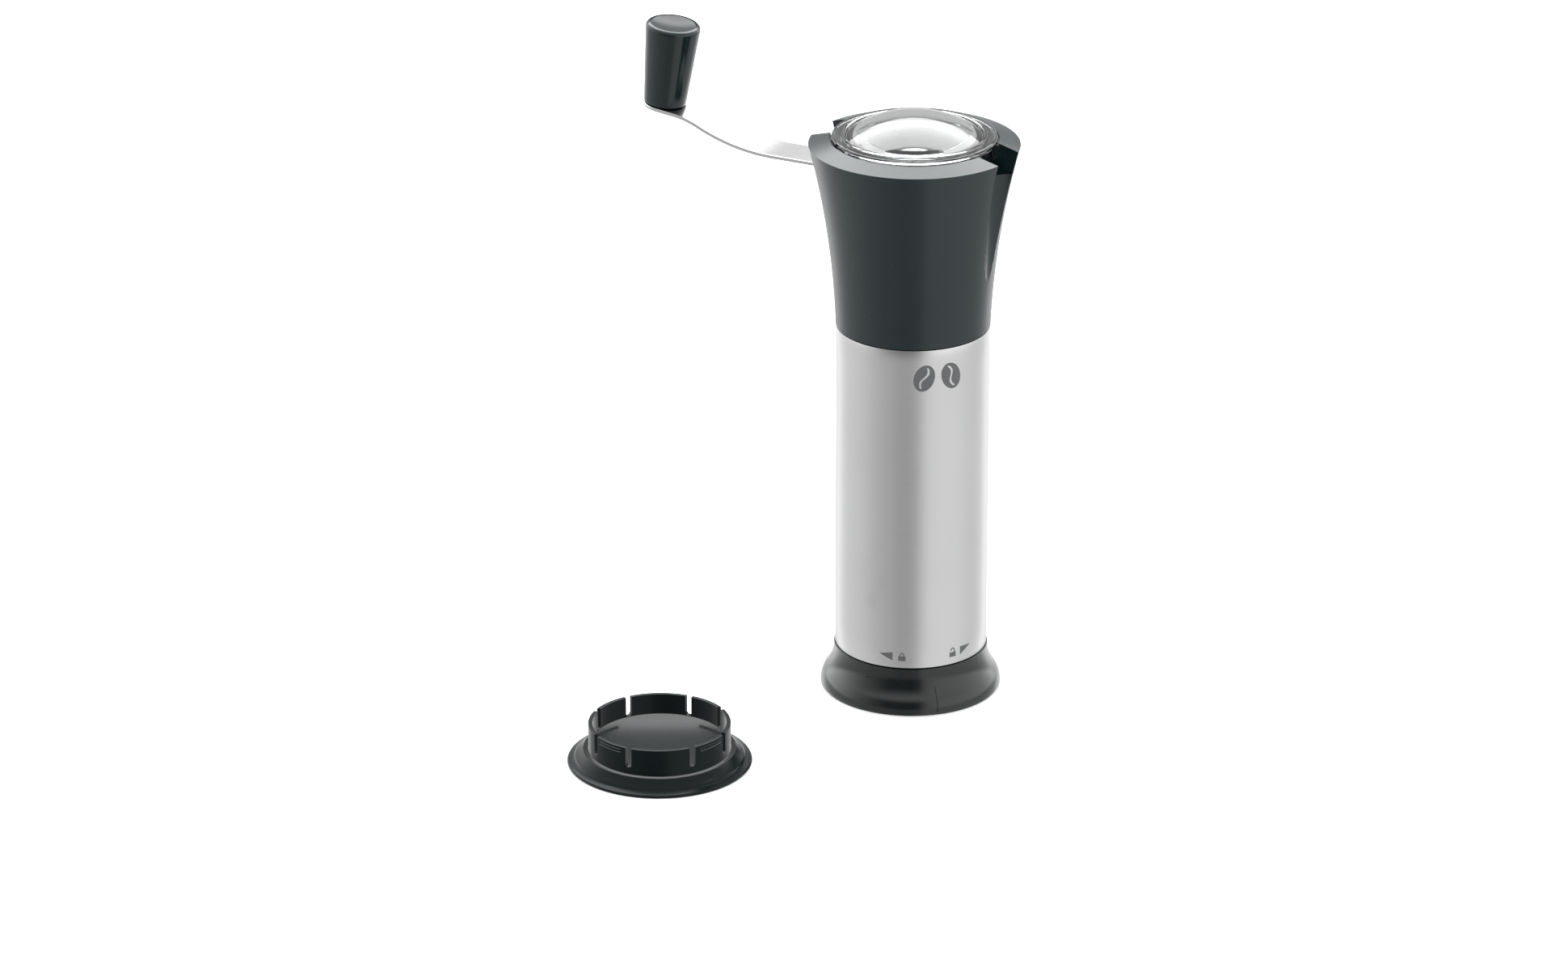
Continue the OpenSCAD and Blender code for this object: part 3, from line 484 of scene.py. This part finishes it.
def beanOutline(side):
    # a leaning oval with a wavy slit along it
    wide, tall = marks["beanSize"]
    lean = math.radians(marks["beanTilt"] * side)
    oval = [(wide * math.cos(t), tall * math.sin(t)) for t in [math.tau * i / 48 for i in range(48)]]
    wave = [(marks["slitWave"] * math.sin(math.pi * k), marks["slitShare"] * tall * k)
            for k in [-1 + i / 9 for i in range(19)]]
    slit = [(x + marks["slit"], z) for x, z in wave]
    slit += [(x - marks["slit"], z) for x, z in reversed(wave)]
    c, s = math.cos(lean), math.sin(lean)
    turned = [[(x * c - z * s, x * s + z * c) for x, z in loop] for loop in (oval, slit)]
    return turned[0], [turned[1]]


def makeMarks():
    radius = boxOf("steel_tube")[1][0]
    for side in (-1, 1):
        outline, holes = beanOutline(side)
        angle = marks["beanAngle"] + math.degrees(side * marks["beanGap"] / radius)
        name = "beanMark" + ("Left" if side < 0 else "Right")
        wrapMark(name, outline, holes, angle, marks["beanHeight"])
    w, h = marks["arrow"][0] / 2, marks["arrow"][1] / 2
    up = marks["signHeight"]
    for name, side, tip in (("closeArrow", -1, "closeTip"), ("openArrow", 1, "openTip")):
        outline = [(side * w, h * marks[tip]), (-side * w, h), (-side * w, -h)]
        wrapMark(name, outline, [], marks[name], up)
    half, top, sole = marks["lockHalf"], marks["lockTop"], marks["lockFoot"]
    outer, inner, end = marks["bowOuter"], marks["bowInner"], marks["openEnd"]
    body = [(-half, top), (-half, sole), (half, sole), (half, top), (outer, top)]
    bow = (0, marks["shutBow"])
    hole = [(inner, top)] + arcPoints(bow, inner, 0, 180, 8) + [(-inner, top)]
    wrapMark("closeSign", body + arcPoints(bow, outer, 0, 180, 12) + [(-outer, top)], [hole],
             marks["closeSign"], up)
    bow = (0, marks["openBow"])
    outline = body + arcPoints(bow, outer, 0, 180, 12) + [(-outer, end), (-inner, end)]
    outline += arcPoints(bow, inner, 180, 0, 8) + [(inner, top)]
    wrapMark("openSign", outline, [], marks["openSign"], up)


makeMarks()

print("head")
head = {
    "seamRadius": 25.2, "rimRadius": 34.2, "sideArc": 288.0, "rimRise": 1.9, "seatRadius": 27.4,
    "seatDrop": 0.8, "neckRadius": 25.4, "ledgeDrop": 14.4, "cupRadius": 23.2,
    "notchWidth": 15.0, "crankSillDrop": 11.4, "farSillDrop": 7.6, "grooveAxis": 34.0,
    "grooveRadius": 7.5, "grooveTopDrop": 7.1, "edge": 0.3, "cutOut": 2.0, "cutUp": 5.0, "cutDown": 1.0,
}


def makeHead():
    low, high = boxOf("head_shell")
    base, top = low[2], high[2]
    rim = top - head["rimRise"]
    a, b = Vector((head["seamRadius"], base)), Vector((head["rimRadius"], rim))
    half = (b - a).length / 2
    out = Vector((b[1] - a[1], a[0] - b[0])) / (2 * half)
    centre = (a + b) / 2 + out * math.sqrt(head["sideArc"] ** 2 - half ** 2)
    angles = [math.degrees(math.atan2(p[1] - centre[1], p[0] - centre[0])) % 360
              for p in (a, b)]
    side = arcPoints(centre, head["sideArc"], angles[0], angles[1], 40)
    points = [(head["cupRadius"], base)] + side
    points += [(head["seatRadius"], top), (head["seatRadius"], top - head["seatDrop"]),
               (head["neckRadius"], top - head["seatDrop"]),
               (head["neckRadius"], rim - head["ledgeDrop"]),
               (head["cupRadius"], rim - head["ledgeDrop"])]
    piece = makePiece("headShell", spinProfile(points, 192))
    w, inner = head["notchWidth"] / 2, head["neckRadius"] / 2
    outer, above = head["rimRadius"] + head["cutOut"], top + head["cutUp"]
    near = boxBm((-outer, -w, rim - head["crankSillDrop"]), (-inner, w, above))
    far = boxBm((inner, -w, rim - head["farSillDrop"]), (outer, w, above))
    cutters = [makePiece("cut1", near), makePiece("cut2", far)]
    for side in (-1, 1):
        rod = rodBm(head["grooveRadius"], base - head["cutDown"], rim - head["grooveTopDrop"], 96)
        bmesh.ops.translate(rod, vec=(side * head["grooveAxis"], 0, 0), verts=rod.verts)
        cutters.append(makePiece("cutGroove", rod))
    carve(piece, cutters)
    softEdges(piece, head["edge"], 3)
    finishPiece(piece, "head", "head_black", plastic["head"], "head_shell")


makeHead()

print("crank")
crank = {
    "radius": 91.0, "width": 14.0, "thick": 1.2, "riseRadius": 66.0, "riseAngle": 25.0,
    "easeRadius": 26.6, "padRun": 7.2, "padRadius": 7.0, "hubRadius": 8.5, "tilt": 7.0, "edge": 0.22,
    "stations": (20.0, 34.0), "leadIn": 1.0, "tipHalf": 0.16, "edgeShare": 0.45, "corner": 0.3,
    "flatIn": 0.25, "flatShare": 0.2,
}


def crankPath():
    # (distance out from the axis, height above the flat run, slope) of the strip's underside
    rise, tilt = math.radians(crank["riseAngle"]), math.radians(crank["tilt"])
    big, small = crank["riseRadius"], crank["easeRadius"]
    easeX = small * (math.sin(rise) - math.sin(tilt))
    start = crank["radius"] - crank["padRun"] * math.cos(tilt) - easeX - big * math.sin(rise)
    hub = crank["hubRadius"]
    flat = [-hub + 2 * hub * i / 16 for i in range(17)] + [*crank["stations"], start - crank["leadIn"]]
    path = [(x, 0.0, 0.0) for x in flat]
    for i in range(25):
        t = rise * i / 24
        path.append((start + big * math.sin(t), big * (1 - math.cos(t)), t))
    x0, z0 = path[-1][:2]
    for i in range(1, 13):
        t = rise + (tilt - rise) * i / 12
        path.append((x0 + small * (math.sin(rise) - math.sin(t)),
                     z0 + small * (math.cos(t) - math.cos(rise)), t))
    x1, z1 = path[-1][:2]
    end = crank["padRun"] + crank["padRadius"]
    for i in range(1, 21):
        s = end * i / 20
        path.append((x1 + s * math.cos(tilt), z1 + s * math.sin(tilt), tilt))
    return path


def halfWidth(x):
    # round at the hub and at the knob's pad, straight between
    half, tip = crank["width"] / 2, crank["tipHalf"]
    if x < half:
        return max(tip, math.sqrt(max(0.0, crank["hubRadius"] ** 2 - x * x)))
    over = (x - crank["radius"]) / math.cos(math.radians(crank["tilt"]))
    return half if over <= 0 else max(tip, math.sqrt(max(0.0, crank["padRadius"] ** 2 - over ** 2)))


def makeCrank():
    low = boxOf("crank_arm")[0][2]
    t, e = crank["thick"], crank["edge"]
    bm = bmesh.new()
    rings = []
    for x, z, slope in crankPath():
        w = halfWidth(x)
        c = min(e, w * crank["edgeShare"])
        k = c * crank["corner"]
        f = w - c - min(crank["flatIn"], w * crank["flatShare"])
        section = [(-w + c, 0), (-f, 0), (f, 0), (w - c, 0), (w - k, k), (w, c), (w, t - c),
                   (w - k, t - k), (w - c, t), (f, t), (-f, t), (-w + c, t), (-w + k, t - k),
                   (-w, t - c), (-w, c), (-w + k, k)]
        ring = [bm.verts.new((-(x - h * math.sin(slope)), y, low + z + h * math.cos(slope)))
                for y, h in section]
        rings.append(ring)
        for a, b in zip(ring, ring[1:] + ring[:1]):
            bm.edges.new((a, b))
    for one, two in zip(rings, rings[1:]):
        edges = [bm.edges.get((a, b)) for ring in (one, two)
                 for a, b in zip(ring, ring[1:] + ring[:1])]
        bmesh.ops.bridge_loops(bm, edges=edges)
    for ring in (rings[0], rings[-1]):
        bm.faces.new(ring)
    bmesh.ops.recalc_face_normals(bm, faces=bm.faces)
    piece = makePiece("crankStrip", bm, smoothAngle=50.0)
    finishPiece(piece, "head", "steel_satin", stripSteel, "crank_arm")


makeCrank()

print("knob")
knob = {
    "gap": 0.3, "footRadius": 7.0, "topRadius": 9.1, "footEdge": 0.8, "topEdge": 1.4, "height": 27.5,
    "boreRadius": 3.06, "seatDrop": 2.6, "dish": 0.9, "plugGap": 0.12, "plugFoot": 2.4, "plugDrop": 0.1,
    "plugEdge": 0.15,
}


def makeKnob():
    joint = next(j for j in frame["joints"] if j["name"] == "knob_spin")
    lie = Matrix.Rotation(math.radians(crank["tilt"]), 4, "Y")
    place = Matrix.Translation(Vector(joint["pos_m"]) / mm) @ lie
    z0 = crank["thick"] + knob["gap"]
    z1 = z0 + knob["height"]
    lean = math.atan((knob["topRadius"] - knob["footRadius"]) / knob["height"])
    fr, fe, te = knob["footRadius"], knob["footEdge"], knob["topEdge"]
    edgeZ = z1 - te
    plug = fr + (edgeZ - z0) * math.tan(lean) - te / math.cos(lean)
    points = [(knob["boreRadius"], z0)]
    points += arcPoints((fr - fe, z0 + fe), fe, -90, -math.degrees(lean), 8)
    points += arcPoints((plug, edgeZ), te, -math.degrees(lean), 90, 14)
    points += [(plug, z1 - knob["seatDrop"]), (knob["boreRadius"], z1 - knob["seatDrop"])]
    grip = makePiece("knobGrip", spinProfile(points, 128), place, 55.0)
    finishPiece(grip, "knob", "knob_black", plastic["knob"], "knob_grip")
    r, top, dish = plug - knob["plugGap"], z1 - knob["plugDrop"], knob["dish"]
    bend = (r * r + dish * dish) / (2 * dish)
    spreadAngle = math.degrees(math.asin(r / bend))
    points = [(0.0, z1 - knob["plugFoot"]), (r, z1 - knob["plugFoot"])]
    points += arcPoints((0.0, top - dish + bend), bend, -90 + spreadAngle, -90, 14)
    bm = spinProfile(points, 96)
    roundRings(bm, knob["plugEdge"], [(r, top)], 2)
    disc = makePiece("knobPlug", bm, place, 55.0)
    finishPiece(disc, "knob", "knob_black", plastic["dish"], "knob_plug")


makeKnob()

print("lid")
lid = {
    "radius": 26.8, "flangeThick": 1.9, "skirtRadius": 25.1, "skirtWall": 1.5, "skirtLow": 5.5,
    "domeShare": 0.82, "wall": 2.0, "bead": 0.6, "beadOut": 1.0, "edge": 0.3, "lip": 0.8,
}


def makeLid():
    low, high = boxOf("clear_lid")
    z0 = low[2] + lid["skirtLow"]
    z1 = z0 + lid["flangeThick"]
    domeHeight = high[2] - z1
    domeR = lid["radius"] * lid["domeShare"]
    rad = (domeR ** 2 + domeHeight ** 2) / (2 * domeHeight)
    centre = (0.0, z1 + domeHeight - rad)
    inner = rad - lid["wall"]
    inFoot = math.sqrt(inner ** 2 - (z1 - centre[1]) ** 2)
    tilt = math.degrees(math.atan2(z1 - centre[1], domeR))
    tiltIn = math.degrees(math.atan2(z1 - centre[1], inFoot))
    inSkirt = lid["skirtRadius"] - lid["skirtWall"]
    points = [(inSkirt, low[2]), (lid["skirtRadius"], low[2]), (lid["skirtRadius"], z0),
              (lid["radius"] - lid["edge"], z0), (lid["radius"], z0 + lid["edge"])]
    points += arcPoints((lid["radius"] - lid["lip"], z1 - lid["lip"]), lid["lip"], 0, 90, 8)
    points += arcPoints((domeR + lid["beadOut"], z1), lid["bead"], 0, 180, 10)
    points += arcPoints(centre, rad, tilt, 90, 32)
    points += arcPoints(centre, inner, 90, tiltIn, 32)
    points += [(inFoot, z0), (inSkirt, z0)]
    bm = spinProfile(points, 160)
    piece = makePiece("clearLid", bm, smoothAngle=35.0)
    finishPiece(piece, "lid", "lid_clear", lidAcrylic, "clear_lid")


makeLid()

print("cap")
cap = {
    "turn": 29.0, "wide": 53.0, "slotWidth": 2.1, "slotRise": 0.2, "slotIn": 3.0, "slotUp": 3.0,
    "slotDeep": 6.0, "ringRadius": 23.0, "ringWall": 1.4, "deckRadius": 24.7, "deck": 4.65,
    "floor": 6.8, "floorThick": 2.0, "top": 13.6, "stepRadius": 27.35, "hollowIn": 2.0,
    "flangeRadius": 29.75, "flangeThick": 0.9, "step": 2.4, "edge": 0.2,
    "snap": 0.6, "snapIn": 0.15, "snapDrop": 1.4, "snapShort": 14.0,
    "brim": [(-0.2, 0.0), (0.0, 0.15), (0.1, 0.5), (-0.1, 0.85)], "brimTop": [(-0.4, 0.1)],
    "stepFoot": [(0.6, 0.6), (0.2, 0.9)], "stepTop": [(0.0, -0.35), (-0.15, -0.1), (-0.4, 0.0)],
    "ringFoot": [(0.3, 0.02), (0.08, 0.1), (0.0, 0.3)],
}


def shifted(radius, height, offsets):
    return [(radius + x, height + z) for x, z in offsets]


def makeCap():
    low, high = boxOf("base_cap")
    middle = (low + high) / 2
    ring, step, flange = cap["ringRadius"], cap["stepRadius"], cap["flangeRadius"]
    inner, under = ring - cap["ringWall"], cap["floor"] - cap["floorThick"]
    points = [(0.0, under), (inner, under), (step - cap["hollowIn"], 0.0)]
    points += shifted(flange, 0.0, cap["brim"])
    points += shifted(flange, cap["flangeThick"], cap["brimTop"])
    points += shifted(step, cap["flangeThick"], cap["stepFoot"])
    points += shifted(step, cap["step"], cap["stepTop"])
    points += [(cap["deckRadius"], cap["deck"])] + shifted(ring, cap["deck"], cap["ringFoot"])
    points += [(ring, cap["top"]), (inner, cap["top"]), (inner, cap["floor"]), (0.0, cap["floor"])]
    bm = spinProfile(points, 160)
    corners = [(ring, cap["top"]), (inner, cap["top"]), (inner, cap["floor"])]
    roundRings(bm, cap["edge"], corners, 3)
    piece = makePiece("plugCap", bm)
    w, above = cap["slotWidth"] / 2, cap["top"] + cap["slotUp"]
    cutters = []
    for i in range(4):
        for half in (-1, 1):
            # a slot with a round foot, pushed out through the ring's wall
            slot = bmesh.new()
            outline = arcPoints((0, cap["floor"] + w + cap["slotRise"]), w, 180, 360, 16)
            outline += [(w, above), (-w, above)]
            slot.faces.new([slot.verts.new((ring - cap["slotIn"], y, z)) for y, z in outline])
            far = bmesh.ops.extrude_face_region(slot, geom=list(slot.faces))["geom"]
            bmesh.ops.translate(slot, vec=(cap["slotDeep"], 0, 0),
                                verts=[v for v in far if isinstance(v, bmesh.types.BMVert)])
            bmesh.ops.recalc_face_normals(slot, faces=slot.faces)
            angle = cap["turn"] + i * 90 + half * cap["wide"] / 2
            turn = Matrix.Rotation(math.radians(angle), 4, "Z")
            cutters.append(makePiece("slotCut", slot, turn))
    carve(piece, cutters)
    piece.data.transform(Matrix.Translation((middle.x * mm, middle.y * mm, 0)))
    piece.visible_glossy = False
    finishPiece(piece, "cap", "cap_black", plastic["cap"], "base_cap")
    narrow, short = 90 - cap["wide"], cap["snapShort"]
    circle = arcPoints((ring - cap["snapIn"], cap["top"] - cap["snapDrop"]), cap["snap"], 0, 337.5, 15)
    for i in range(4):
        start = cap["turn"] + 45 + i * 90 - narrow / 2 + short / 2
        bead = spinProfile(circle, 16, narrow - short, start)
        bead = makePiece("capBead" + str(i + 1), bead, Matrix.Translation((middle.x, middle.y, 0)))
        bead.data.materials.append(plastic["cap"])
        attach(bead, "cap")


makeCap()

print("studio")
studio = {
    "cameraAt": (0.9006, -1.8464, 0.9124), "cameraTurn": (67.74, 0.0, 27.17), "lens": 155.5,
    "cameraHeading": -64.0, "softboxElevation": 52.0, "softboxDistance": 1.7, "softboxSize": (2.1, 1.45),
    "softboxPower": 46.0, "softboxAim": 0.15, "overhead": 1.2, "overheadRise": (0.35, 0.8),
    "horizon": (-0.12, 0.06), "behindLid": 0.5, "backdrop": 1.05, "toneScale": 4.0,
    "floorHalf": 6000.0, "floorTone": 0.9, "floorGlow": 0.22, "sensor": 36.0, "farClip": 50.0,
}


def rampOf(tree, share, stops):
    # a ramp of grey tones up to the tone scale, read at a 0 to 1 share
    ramp = addNode(tree, "ShaderNodeValToRGB")
    elements = ramp.color_ramp.elements
    while len(elements) < len(stops):
        elements.new(0.5)
    for element, (place, tone) in zip(elements, stops):
        element.position = place
        element.color = (*[tone / studio["toneScale"]] * 3, 1.0)
    tree.links.new(share, ramp.inputs["Fac"])
    return ramp.outputs["Color"]


def makeWorld():
    # tones by heading from the camera, for what lies below the horizon and above it
    below = [(-180, 0.9), (-158, 1.1), (-146, 1.5), (-134, 1.2), (-119, 0.93), (-95, 0.86),
             (-75, 0.80), (-58, 0.66), (-42, 0.58), (-24, 0.52), (-17, 0.44), (6, 0.47), (11, 0.56),
             (17, 0.88), (26, 0.97), (69, 0.96), (81, 0.92), (95, 0.84), (112, 0.82), (130, 1.0),
             (144, 1.5), (160, 1.2), (180, 0.9)]
    above = [(-180, 0.62), (-162, 0.66), (-150, 1.4), (-136, 2.6), (-110, 2.3), (-75, 1.1),
             (-50, 0.5), (-30, 0.2), (4, 0.16), (12, 0.3), (22, 1.0), (34, 1.3), (80, 1.5),
             (110, 1.7), (136, 2.4), (150, 1.2), (162, 0.66), (180, 0.62)]
    world = bpy.data.worlds.new("studioWorld")
    bpy.context.scene.world = world
    world.use_nodes = True
    tree = world.node_tree
    tree.nodes.clear()
    split = addNode(tree, "ShaderNodeSeparateXYZ")
    tree.links.new(addNode(tree, "ShaderNodeTexCoord").outputs["Generated"], split.inputs[0])
    # the studio is turned so that the middle of the ramps faces the camera
    heading = math.radians(studio["cameraHeading"])
    turned = []
    for fx, fy in ((-math.sin(heading), math.cos(heading)), (math.cos(heading), math.sin(heading))):
        one = addNode(tree, "ShaderNodeMath", operation="MULTIPLY")
        tree.links.new(split.outputs["X"], one.inputs[0])
        one.inputs[1].default_value = fx
        two = addNode(tree, "ShaderNodeMath", operation="MULTIPLY_ADD")
        tree.links.new(split.outputs["Y"], two.inputs[0])
        two.inputs[1].default_value = fy
        tree.links.new(one.outputs[0], two.inputs[2])
        turned.append(two.outputs[0])
    turn = addNode(tree, "ShaderNodeMath", operation="ARCTAN2")
    tree.links.new(turned[0], turn.inputs[0])
    tree.links.new(turned[1], turn.inputs[1])
    share = addNode(tree, "ShaderNodeMapRange")
    share.inputs["From Min"].default_value = -math.pi
    share.inputs["From Max"].default_value = math.pi
    tree.links.new(turn.outputs[0], share.inputs["Value"])
    low, high = (rampOf(tree, share.outputs[0], [((a + 180) / 360, t) for a, t in stops])
                 for stops in (below, above))
    rise = addNode(tree, "ShaderNodeMapRange", interpolation_type="SMOOTHSTEP")
    rise.inputs["From Min"].default_value = studio["horizon"][0]
    rise.inputs["From Max"].default_value = studio["horizon"][1]
    tree.links.new(split.outputs["Z"], rise.inputs["Value"])
    both = addNode(tree, "ShaderNodeMix", data_type="RGBA")
    tree.links.new(rise.outputs[0], both.inputs["Factor"])
    tree.links.new(low, both.inputs["A"])
    tree.links.new(high, both.inputs["B"])
    # overhead it evens out
    over = addNode(tree, "ShaderNodeMapRange", interpolation_type="SMOOTHSTEP")
    over.inputs["From Min"].default_value = studio["overheadRise"][0]
    over.inputs["From Max"].default_value = studio["overheadRise"][1]
    tree.links.new(split.outputs["Z"], over.inputs["Value"])
    dome = addNode(tree, "ShaderNodeMix", data_type="RGBA")
    tree.links.new(over.outputs[0], dome.inputs["Factor"])
    tree.links.new(both.outputs["Result"], dome.inputs["A"])
    dome.inputs["B"].default_value = (*[studio["overhead"] / studio["toneScale"]] * 3, 1.0)
    glow = addNode(tree, "ShaderNodeBackground")
    glow.inputs["Strength"].default_value = studio["toneScale"]
    tree.links.new(dome.outputs["Result"], glow.inputs["Color"])
    path = addNode(tree, "ShaderNodeLightPath")
    shown = glow.outputs[0]
    plainTones = (("Is Transmission Ray", studio["behindLid"]), ("Is Camera Ray", studio["backdrop"]))
    for ray, tone in plainTones:
        plain = addNode(tree, "ShaderNodeBackground")
        plain.inputs["Color"].default_value = (1, 1, 1, 1)
        plain.inputs["Strength"].default_value = tone
        mix = addNode(tree, "ShaderNodeMixShader")
        tree.links.new(path.outputs[ray], mix.inputs["Fac"])
        tree.links.new(shown, mix.inputs[1])
        tree.links.new(plain.outputs[0], mix.inputs[2])
        shown = mix.outputs[0]
    tree.links.new(shown, addNode(tree, "ShaderNodeOutputWorld").inputs["Surface"])


def makeFloor():
    bm = bmesh.new()
    bmesh.ops.create_grid(bm, x_segments=1, y_segments=1, size=studio["floorHalf"])
    floor = makePiece("floor", bm)
    tone = studio["floorTone"]
    mat, _, shader = newMaterial("floorWhite", (tone, tone, tone), 0.9)
    shader.inputs["Specular IOR Level"].default_value = 0.0
    shader.inputs["Emission Color"].default_value = (1, 1, 1, 1)
    shader.inputs["Emission Strength"].default_value = studio["floorGlow"]
    floor.data.materials.append(mat)
    floor.visible_glossy = False
    floor.visible_transmission = False


def makeLights():
    turn = math.radians(studio["cameraHeading"] + 180)
    rise = math.radians(studio["softboxElevation"])
    toward = Vector((math.cos(turn) * math.cos(rise), math.sin(turn) * math.cos(rise), math.sin(rise)))
    light = bpy.data.lights.new("softbox", "AREA")
    light.shape = "RECTANGLE"
    light.size, light.size_y = studio["softboxSize"]
    light.energy = studio["softboxPower"]
    lamp = bpy.data.objects.new("softbox", light)
    lamp.location = toward * studio["softboxDistance"] + Vector((0, 0, studio["softboxAim"]))
    lamp.rotation_euler = (-toward).to_track_quat("-Z", "Y").to_euler()
    bpy.context.scene.collection.objects.link(lamp)


def makeCamera():
    data = bpy.data.cameras.new("camera")
    data.sensor_width = studio["sensor"]
    data.lens = studio["lens"]
    data.clip_end = studio["farClip"]
    camera = bpy.data.objects.new("camera", data)
    camera.location = studio["cameraAt"]
    camera.rotation_euler = [math.radians(a) for a in studio["cameraTurn"]]
    bpy.context.scene.collection.objects.link(camera)
    bpy.context.scene.camera = camera


makeWorld()
makeFloor()
makeLights()
makeCamera()
bpy.context.scene.view_settings.view_transform = "Standard"
